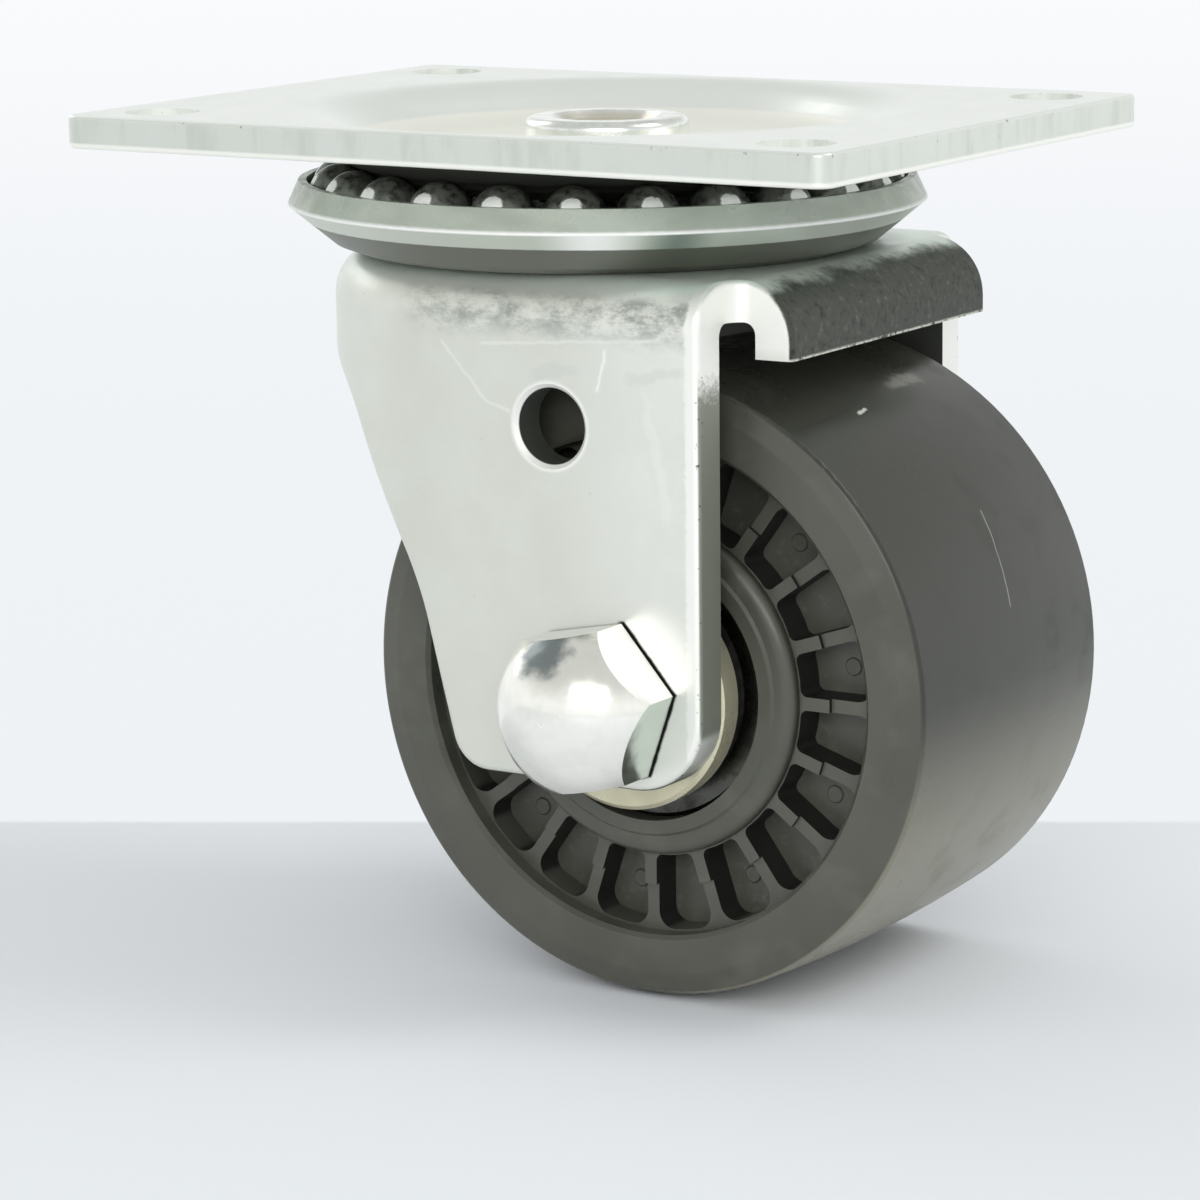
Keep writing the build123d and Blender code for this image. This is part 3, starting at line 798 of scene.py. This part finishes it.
@dataclass(frozen=True)
class HeadFinish(PolishedFinish):
    """The kingpin: polished head, brown in the shade of its recess, greasy shank."""

    shade: Colour = (0.72, 0.65, 0.52)
    grease: Colour = (0.16, 0.16, 0.13)
    head_z: float = -5.05
    recess_reach: float = 6.9
    shaded_y: Ramp = (2.0, 5.0)

    def coat(self, graph: Graph) -> Coat:
        """The recess's warm shade and the shank's grease."""
        coat = super().coat(graph)
        x, y, z = graph.spot()
        rag = graph.noise(6.0, 2.0, 0.5, (2, 2, 2))
        recess = graph.length(x, y).step(self.recess_reach + 0.1, self.recess_reach - 0.5)
        shaded = recess * (y + rag * 6).step(*self.shaded_y) * z.step(self.head_z, self.head_z + 0.5)
        coat = coat.painted(self.shade, shaded * 0.6)
        return coat.painted(self.grease, z.step(self.head_z - 0.3, self.head_z - 0.8), 0.4)


@dataclass(frozen=True)
class NylonFinish(Finish):
    """Dark moulded nylon: satin skin, pockets with painted shade on their walls, and a tread with a painted
    dark reflection, a painted floor reflection and scuffs.
    """

    metal: float = 0.0
    skin: Colour = (0.080, 0.080, 0.064)
    rubbed: Colour = (0.135, 0.135, 0.112)
    pocket_walls: Colour = (0.010, 0.011, 0.009)
    pocket_dust: Colour = (0.17, 0.17, 0.145)
    clean: Colour = (0.030, 0.031, 0.024)
    dust: Colour = (0.235, 0.225, 0.175)
    gloss: float = 0.31
    face: float = 23.0
    tread_r: float = 38.0
    bevel_r: float = 36.8
    pocket_in: float = 20.0
    pocket_out: float = 29.9
    hub_half: float = 15.0
    pocket_depth: float = 6.2
    clean_from: Ramp = (5.0, 35.0)
    clean_to: Ramp = (108.0, 84.0)
    dusty_from: Ramp = (88.0, 122.0)
    dusty_to: Ramp = (180.0, 168.0)
    rubs: tuple[Rub, ...] = (
        Rub((32.7, -7.0), (32.4, -4.6), 0.35, (0.85, 0.85, 0.78), 0.8),
        Rub((31.9, -20.0), (31.2, -7.4), 0.22, (0.02, 0.02, 0.018), 0.7),
        Rub((28.5, 5.0), (27.0, 13.0), 1.4, (0.34, 0.34, 0.30), 0.5),
        Rub((58.0, 1.4), (76.0, 0.2), 0.16, (0.30, 0.30, 0.27), 0.8),
    )

    def coat(self, graph: Graph) -> Coat:
        """Skin, pockets and tread marks."""
        cloud = graph.noise(18.0, 3.0, 0.5, (4, 4, 4)).step(0.35, 0.7)
        rub = graph.noise(6.0, 2.0, 0.5, (1, 9, 2)).step(0.52, 0.72)
        colour = graph.mix(self.skin, self.rubbed, cloud * 0.3 + rub * 0.3)
        rough = self.gloss + (cloud - 0.5) * 0.08 + rub * 0.1
        coat = Coat(graph, colour, rough, graph.bump(cloud, 0.03))
        return self.tread(self.pockets(coat))

    def pockets(self, coat: Coat) -> Coat:
        """Painted shade on the walls and dusted floors between the ribs."""
        graph = coat.graph
        _, y, _ = graph.spot()
        _, out, _ = graph.split(graph.facing())
        wide = abs(y)
        # Painted shade on the walls of the pockets.
        shaded_wall = abs(out).step(0.75, 0.4) * wide.step(self.face - 0.9, self.face - 1.6)
        shaded_wall = shaded_wall * wide.step(self.hub_half, self.hub_half + 0.5)
        off = graph.from_axle()
        hollow = off.step(self.pocket_out, self.pocket_out - 0.5)
        hollow = hollow * off.step(self.pocket_in, self.pocket_in + 0.6)
        coat = coat.painted(self.pocket_walls, shaded_wall * hollow, 0.5)
        dust = graph.noise(1.6, 5.0, 0.7, (8, 8, 4)).step(0.5, 0.72)
        floor_y = self.face - self.pocket_depth
        floor = wide.step(floor_y + 0.7, floor_y) * hollow * abs(out).step(0.6, 0.9)
        return coat.painted(self.pocket_dust, floor * dust * 0.5)

    def tread(self, coat: Coat) -> Coat:
        """A painted dark reflection over the top and right, a painted floor reflection from the right round
        to the bottom, and the rubs. Places along the tread are in degrees round the axle.
        """
        graph = coat.graph
        _, y, _ = graph.spot()
        round_mm = graph.axle_angle() * self.tread_r
        on_tread = graph.from_axle().step(self.bevel_r, self.bevel_r + 0.3)
        # Painted dark reflection over the top and right of the tread, and a painted floor reflection from
        # the right round to the bottom.
        turned = graph.axle_angle() / math.radians(1)
        clean = turned.step(*self.clean_from) * turned.step(*self.clean_to)
        coat = coat.painted(self.clean, clean * on_tread * 0.9)
        dusty = turned.step(*self.dusty_from) * turned.step(*self.dusty_to)
        coat = coat.painted(self.dust, dusty * on_tread)
        wander = graph.noise(3.0, 3.0, 0.6, (9, 9, 9))
        per_degree = math.radians(1) * self.tread_r
        for rub in self.rubs:
            mask = graph.mark((round_mm, y), rub.stretched(per_degree), wander)
            coat = coat.painted(rub.tone, mask * on_tread * rub.share)
        return coat


@dataclass(frozen=True)
class RubberFinish(Finish):
    """Matt black seal."""

    metal: float = 0.0
    tone: Colour = (0.012, 0.012, 0.011)
    dusty: Colour = (0.030, 0.029, 0.026)
    gloss: float = 0.55

    def coat(self, graph: Graph) -> Coat:
        """Dust on black."""
        dust = graph.noise(2.0, 4.0, 0.6).step(0.4, 0.7)
        colour = graph.mix(self.tone, self.dusty, dust)
        return Coat(graph, colour, self.gloss + dust * 0.2, graph.bump(dust, 0.01))


def make_finishes() -> dict[str, bpy.types.Material]:
    """Every finish by the name of its slot."""
    recipes = (
        PlateFinish("plate_zinc", metal=0.75, dull=(0.80, 0.82, 0.77), gloss_swing=0.06, ripple_depth=0.005),
        ForkFinish("fork_zinc", metal=0.6, dull=(0.76, 0.79, 0.72), gloss_swing=0.08, ripple_depth=0.006),
        TurnedFinish(
            "race_zinc",
            metal=0.3,
            light=(0.50, 0.54, 0.47),
            dull=(0.38, 0.42, 0.35),
            gloss=0.3,
            ripple_depth=0.004,
        ),
        ZincFinish("bolt_zinc"),
        ZincFinish("spacer_zinc", metal=0.6, light=(0.80, 0.76, 0.55), dull=(0.60, 0.56, 0.40)),
        ZincFinish("cage_steel", light=(0.55, 0.55, 0.52), dull=(0.4, 0.4, 0.38)),
        HeadFinish("kingpin_zinc", tint=(0.98, 0.99, 0.95), smear=(0.82, 0.84, 0.80), gloss=0.18),
        NutFinish("nut_chrome", tint=(1.0, 0.99, 0.93), smear=(0.94, 0.935, 0.87), gloss=0.16),
        # Near black: partly oily steel, partly painted shade in the hub's recess.
        PolishedFinish("bearing_steel", tint=(0.10, 0.10, 0.09), smear=(0.05, 0.05, 0.045), gloss=0.25),
        BallFinish(
            "ball_steel",
            metal=0.6,
            tint=(0.20, 0.21, 0.18),
            smear=(0.035, 0.037, 0.03),
            gloss=0.05,
            gloss_swing=0.05,
            grain_mm=1.3,
        ),
        NylonFinish("wheel_nylon"),
        RubberFinish("shield_rubber"),
    )
    return {recipe.name: recipe.material() for recipe in recipes}


@dataclass(frozen=True)
class SubAssembly:
    """A body of the caster: its carried-over nodes and what the scene adds to them."""

    body: str

    def dress(self, finishes: Mapping[str, bpy.types.Material]) -> None:
        """Give every node of the body the finish of its slot.

        Args:
            finishes: materials by slot.
        """
        slots = {part["node"]: part["material_slot"] for part in frame["record"]["subparts"]}
        for node in frame["record"]["behaviour"]["bodies"][self.body]:
            mesh = frame["nodes"][node].data
            mesh.materials.clear()
            mesh.materials.append(finishes[slots[node]])
            log.info("%s of body %s wears %s", node, self.body, slots[node])

    def add_details(self, finishes: Mapping[str, bpy.types.Material]) -> None:
        """Add small pieces, where the body has any.

        Args:
            finishes: materials by slot.
        """

    def build(self, finishes: Mapping[str, bpy.types.Material]) -> None:
        """Dress the body and add its details."""
        self.dress(finishes)
        self.add_details(finishes)


@dataclass(frozen=True)
class WheelAssembly(SubAssembly):
    """The moulded wheel, with the round marks that ejector pins leave in its pockets."""

    pocket_count: int = 20
    pocket_turn: float = 9.0
    mark_reach: float = 25.4
    floor_y: float = 16.5
    mark_r: float = 1.15
    mark_rise: float = 0.22
    mark_sink: float = 0.02
    mark_every: int = 2
    mark_sides: int = 28

    def add_details(self, finishes: Mapping[str, bpy.types.Material]) -> None:
        """Low round pin marks on every second pocket's floor."""
        shape = bmesh.new()
        for side in (-1, 1):
            for number in range(0, self.pocket_count, self.mark_every):
                angle = math.radians(self.pocket_turn + number * 360 / self.pocket_count)
                self.add_mark(shape, angle, side)
        mesh = bpy.data.meshes.new("pin_marks")
        shape.to_mesh(mesh)
        shape.free()
        mesh.materials.append(finishes["wheel_nylon"])
        marks = bpy.data.objects.new("pin_marks", mesh)
        bpy.context.scene.collection.objects.link(marks)
        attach(marks, self.body)
        log.info("added %d pin marks", 2 * len(range(0, self.pocket_count, self.mark_every)))

    def add_mark(self, shape: bmesh.types.BMesh, angle: float, side: int) -> None:
        """Add one mark.

        Args:
            shape: the mesh that it joins.
            angle: its place round the axle, in radians.
            side: -1 for the near side, 1 for the far side.
        """
        place = Vector(
            (
                AXLE.x + self.mark_reach * math.cos(angle),
                side * (self.floor_y + self.mark_rise / 2 - self.mark_sink),
                AXLE.z + self.mark_reach * math.sin(angle),
            )
        )
        upright = Vector((0, side, 0)).to_track_quat("Z", "Y").to_matrix().to_4x4()
        bmesh.ops.create_cone(
            shape,
            cap_ends=True,
            segments=self.mark_sides,
            radius1=self.mark_r * MM,
            radius2=(self.mark_r - self.mark_rise) * MM,
            depth=self.mark_rise * MM,
            matrix=Matrix.Translation(place * MM) @ upright,
        )


@dataclass(frozen=True)
class PhotoCamera:
    """The photograph's camera, found from the plate, the cup and the wheel."""

    x: float = 288.57
    y: float = -466.22
    z: float = 50.40
    yaw: float = 31.913
    pitch: float = -11.514
    roll: float = -0.674
    lens: float = 135.57
    film: float = 36.0
    picture: int = 1200

    def axes(self) -> tuple[Vector, Vector, Vector]:
        """Right, up and forward."""
        yaw, pitch, roll = (math.radians(angle) for angle in (self.yaw, self.pitch, self.roll))
        level_run = math.cos(pitch)
        forward = Vector((-math.sin(yaw) * level_run, math.cos(yaw) * level_run, math.sin(pitch)))
        level = Vector((math.cos(yaw), math.sin(yaw), 0))
        upright = level.cross(forward)
        right = level * math.cos(roll) + upright * math.sin(roll)
        up = upright * math.cos(roll) - level * math.sin(roll)
        return right, up, forward

    def eye(self) -> Vector:
        """Where the camera stands, in metres."""
        return Vector((self.x, self.y, self.z)) * MM

    def on_floor(self, column: float, row: float, floor_z: float) -> Vector:
        """The floor's point behind a pixel of the photograph.

        Args:
            column: pixels from the left.
            row: pixels from the top.
            floor_z: height of the floor.

        Returns:
            A point in metres.
        """
        right, up, forward = self.axes()
        half = self.picture / 2
        focal = self.lens / self.film * self.picture
        ray = forward + right * ((column - half) / focal) - up * ((row - half) / focal)
        return self.eye() + ray * ((floor_z - self.eye().z) / ray.z)

    def build(self) -> None:
        """Add the camera and make it the scene's."""
        right, up, forward = self.axes()
        data = bpy.data.cameras.new("photo_camera")
        data.lens = self.lens
        data.sensor_width = self.film
        data.sensor_fit = "HORIZONTAL"
        data.clip_start = 0.01
        data.clip_end = 50
        camera = bpy.data.objects.new("photo_camera", data)
        turn = Matrix((right, up, -forward)).transposed().to_4x4()
        camera.matrix_world = Matrix.Translation(self.eye()) @ turn
        bpy.context.scene.collection.objects.link(camera)
        bpy.context.scene.camera = camera


@dataclass(frozen=True)
class Lamp:
    """A soft rectangular lamp that looks at the caster."""

    name: str
    heading: tuple[float, float, float]
    distance: float
    width: float
    height: float
    power: float
    tint: Colour = (1.0, 1.0, 1.0)

    def build(self, target: Vector) -> None:
        """Add the lamp.

        Args:
            target: the point that it looks at.
        """
        data = bpy.data.lights.new(self.name, "AREA")
        data.shape = "RECTANGLE"
        data.size = self.width
        data.size_y = self.height
        data.energy = self.power
        data.color = self.tint
        lamp = bpy.data.objects.new(self.name, data)
        place = target + Vector(self.heading).normalized() * self.distance
        turn = (target - place).to_track_quat("-Z", "Y").to_matrix().to_4x4()
        lamp.matrix_world = Matrix.Translation(place) @ turn
        bpy.context.scene.collection.objects.link(lamp)
        log.info("lit %s", self.name)


@dataclass(frozen=True)
class Studio:
    """Pale floor, pale far backdrop, soft lamps and an even world."""

    floor_line_row: int = 822
    floor_size: float = 12.0
    near_tone: Colour = (0.90, 0.92, 0.965)
    far_low: Colour = (0.86, 0.89, 0.915)
    far_high: Colour = (0.955, 0.96, 0.98)
    far_reach: float = 1.6
    horizon: Colour = (0.93, 0.95, 0.95)
    overhead: Colour = (0.60, 0.615, 0.60)
    line_half: float = 0.0012
    dimming: Ramp = (0.12, 0.6)
    lamps: tuple[Lamp, ...] = (
        Lamp("front_window", (0.42, -0.82, 0.40), 1.15, 0.8, 0.4, 3.6),
        Lamp("top_softbox", (0.58, 0.24, 0.74), 1.25, 0.45, 0.45, 2.6),
        Lamp("left_fill", (-0.85, 0.20, 0.50), 1.4, 0.8, 0.8, 1.6),
    )

    def floor_material(self, camera: PhotoCamera, floor_z: float) -> bpy.types.Material:
        """The floor's colour: a grey-blue near part, then a step to a near white far part.

        Args:
            camera: gives the line where the tone steps.
            floor_z: height of the floor.

        Returns:
            The material.
        """
        left = camera.on_floor(0, self.floor_line_row, floor_z)
        right = camera.on_floor(camera.picture, self.floor_line_row, floor_z)
        run = (right - left).normalized()
        across = Vector((-run.y, run.x))
        offset = across.x * left.x + across.y * left.y
        material = bpy.data.materials.new("studio_floor")
        material.use_nodes = True
        graph = Graph(material.node_tree)
        x, y, _ = graph.split(graph.place())
        beyond = x * across.x + y * across.y - offset
        far = graph.mix(self.far_low, self.far_high, beyond.step(0.0, self.far_reach))
        past_line = beyond.step(-self.line_half, self.line_half)
        colour = graph.mix(self.near_tone, far, past_line)
        plain = graph.node("ShaderNodeBsdfDiffuse", inputs={"Color": colour})
        glow = graph.node("ShaderNodeEmission", inputs={"Color": far})
        path = graph.node("ShaderNodeLightPath", output="Is Camera Ray")
        glossy = graph.node("ShaderNodeLightPath", output="Is Glossy Ray")
        clear = graph.node("ShaderNodeLightPath", output="Is Transmission Ray")
        seen = (path + glossy + clear).at_most(1.0) * past_line
        surface = graph.node("ShaderNodeMixShader", inputs={0: seen, 1: plain, 2: glow})
        graph.node("ShaderNodeOutputMaterial", inputs={"Surface": surface})
        return material

    def build_floor(self, camera: PhotoCamera, floor_z: float) -> None:
        """Add the floor under the wheel."""
        shape = bmesh.new()
        bmesh.ops.create_grid(shape, x_segments=1, y_segments=1, size=self.floor_size / 2)
        bmesh.ops.translate(shape, verts=shape.verts, vec=(0, 0, floor_z))
        mesh = bpy.data.meshes.new("studio_floor")
        shape.to_mesh(mesh)
        shape.free()
        floor = bpy.data.objects.new("studio_floor", mesh)
        bpy.context.scene.collection.objects.link(floor)
        mesh.materials.append(self.floor_material(camera, floor_z))

    def build_world(self) -> None:
        """Light from all round: bright near the horizon and dimmer overhead."""
        world = bpy.data.worlds.new("studio_world")
        bpy.context.scene.world = world
        world.use_nodes = True
        graph = Graph(world.node_tree)
        _, _, height = graph.split(graph.node("ShaderNodeTexCoord", output="Generated"))
        tone = graph.mix(self.horizon, self.overhead, height.step(*self.dimming))
        lit = graph.node("ShaderNodeBackground", inputs={"Color": tone, "Strength": 1.0})
        seen = graph.node("ShaderNodeBackground", inputs={"Color": self.far_high, "Strength": 1.0})
        path = graph.node("ShaderNodeLightPath", output="Is Camera Ray")
        surface = graph.node("ShaderNodeMixShader", inputs={0: path, 1: lit, 2: seen})
        graph.node("ShaderNodeOutputWorld", inputs={"Surface": surface})

    def build(self, camera: PhotoCamera) -> None:
        """Add the floor, the world and the lamps."""
        floor_z = cad_box[0][2]
        self.build_floor(camera, floor_z)
        self.build_world()
        target = Vector((AXLE.x, 0, AXLE.z)) * MM
        for lamp in self.lamps:
            lamp.build(target)


def main() -> None:
    """Build the looks in order."""
    logging.basicConfig(level=logging.INFO, format="%(name)s: %(message)s")
    bpy.context.scene.view_settings.view_transform = "Standard"
    finishes = make_finishes()
    for body in frame["record"]["behaviour"]["bodies"]:
        kind = WheelAssembly if body == "wheel" else SubAssembly
        kind(body).build(finishes)
    camera = PhotoCamera()
    camera.build()
    Studio().build(camera)


if __name__ == "__main__":
    main()
